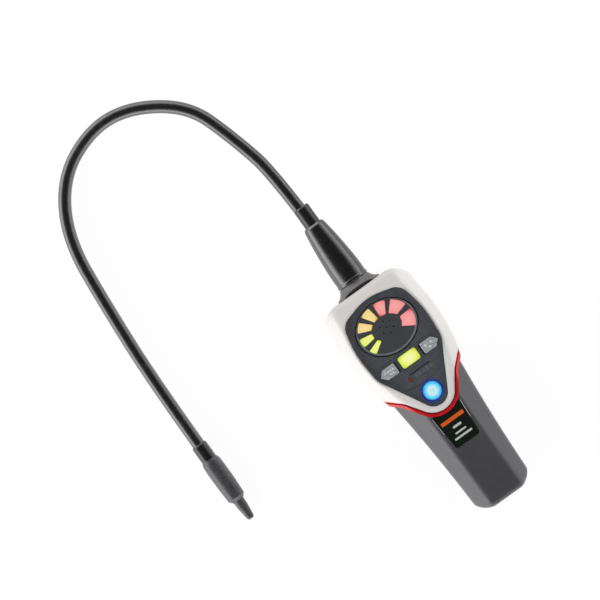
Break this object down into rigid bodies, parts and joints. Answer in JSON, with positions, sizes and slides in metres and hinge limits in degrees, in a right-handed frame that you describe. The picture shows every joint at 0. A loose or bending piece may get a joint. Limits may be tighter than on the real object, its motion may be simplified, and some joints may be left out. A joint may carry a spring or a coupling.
{
  "type": "hydrogen leak detector",
  "caption": "Handheld leak detector with a rounded two-tone housing, a lit dial with keys on its face and a bent gooseneck probe with a small sensor tip.",
  "frame": {"origin": "on the flat back, straight under the centre of the power button", "axes": "+Y along the housing to the head, +Z out of the face, +X to the right as the face is read"},
  "size_m": [0.1881, 0.3611, 0.0499],
  "materials": {
    "white_shell": "satin moulded",
    "grey_grip": "soft-touch matt",
    "red_trim": "satin",
    "panel_dark": "fine ribbed matt",
    "dial_dark": "satin",
    "plate_dark": "printed gloss",
    "status_red": "clear lens",
    "key_silver": "satin",
    "key_lit": "backlit",
    "button_blue": "backlit",
    "black_rubber": "satin",
    "plated_steel": "zinc plated",
    "black_metal": "black satin",
    "neck_black": "ribbed black",
    "cable_grey": "matt",
    "holder_black": "black anodised",
    "inner_plastic": "moulded",
    "board_green": "solder mask",
    "spring_metal": "nickelled",
    "cell_skin": "plain sleeve",
    "segment_green": "backlit",
    "segment_amber": "backlit",
    "segment_red": "backlit"
  },
  "bodies": {
    "housing": {"battery_cell_1": "cell_skin", "battery_cell_2": "cell_skin", "battery_cell_3": "cell_skin", "battery_cell_4": "cell_skin", "battery_holder": "inner_plastic", "board_screws": "plated_steel", "contact_leaves": "spring_metal", "contact_plates": "spring_metal", "control_panel": "panel_dark", "dial_lens": "dial_dark", "front_grip": "grey_grip", "front_shell": "white_shell", "gooseneck": "neck_black", "housing_screws": "plated_steel", "indicator_leds": "inner_plastic", "key_switches": "inner_plastic", "led_segment_1": "segment_green", "led_segment_2": "segment_green", "led_segment_3": "segment_amber", "led_segment_4": "segment_amber", "led_segment_5": "segment_red", "led_segment_6": "segment_red", "led_segment_7": "segment_red", "lower_ferrule": "black_metal", "main_board": "board_green", "name_plate": "plate_dark", "probe_collar": "black_rubber", "probe_nut": "plated_steel", "rear_grip": "grey_grip", "rear_shell": "white_shell", "sensor_element": "plated_steel", "sensor_holder": "holder_black", "sensor_lead": "cable_grey", "sensor_socket": "inner_plastic", "speaker": "inner_plastic", "status_led": "status_red", "strain_boot": "black_rubber", "trim_band": "red_trim", "upper_ferrule": "black_metal"},
    "power_button": {"power_button": "button_blue"},
    "left_key": {"left_key": "key_silver"},
    "centre_key": {"centre_key": "key_lit"},
    "right_key": {"right_key": "key_silver"},
    "battery_door": {"battery_door": "grey_grip"},
    "sensor_cap": {"sensor_cap": "holder_black"}
  },
  "joints": [
    {"name": "power_button_press", "type": "slide", "parent": "housing", "child": "power_button", "axis": [0, 0, -1], "range_m": [0, 0.0008], "stiffness_N_per_m": 600},
    {"name": "left_key_press", "type": "slide", "parent": "housing", "child": "left_key", "axis": [0, 0, -1], "range_m": [0, 0.0008], "stiffness_N_per_m": 600},
    {"name": "centre_key_press", "type": "slide", "parent": "housing", "child": "centre_key", "axis": [0, 0, -1], "range_m": [0, 0.0008], "stiffness_N_per_m": 600},
    {"name": "right_key_press", "type": "slide", "parent": "housing", "child": "right_key", "axis": [0, 0, -1], "range_m": [0, 0.0008], "stiffness_N_per_m": 600},
    {"name": "battery_door_slide", "type": "slide", "parent": "housing", "child": "battery_door", "axis": [0, -1, 0], "range_m": [0, 0.066]},
    {"name": "sensor_cap_pull", "type": "slide", "parent": "housing", "child": "sensor_cap", "axis": [0, -1, 0], "range_m": [0, 0.01]}
  ]
}
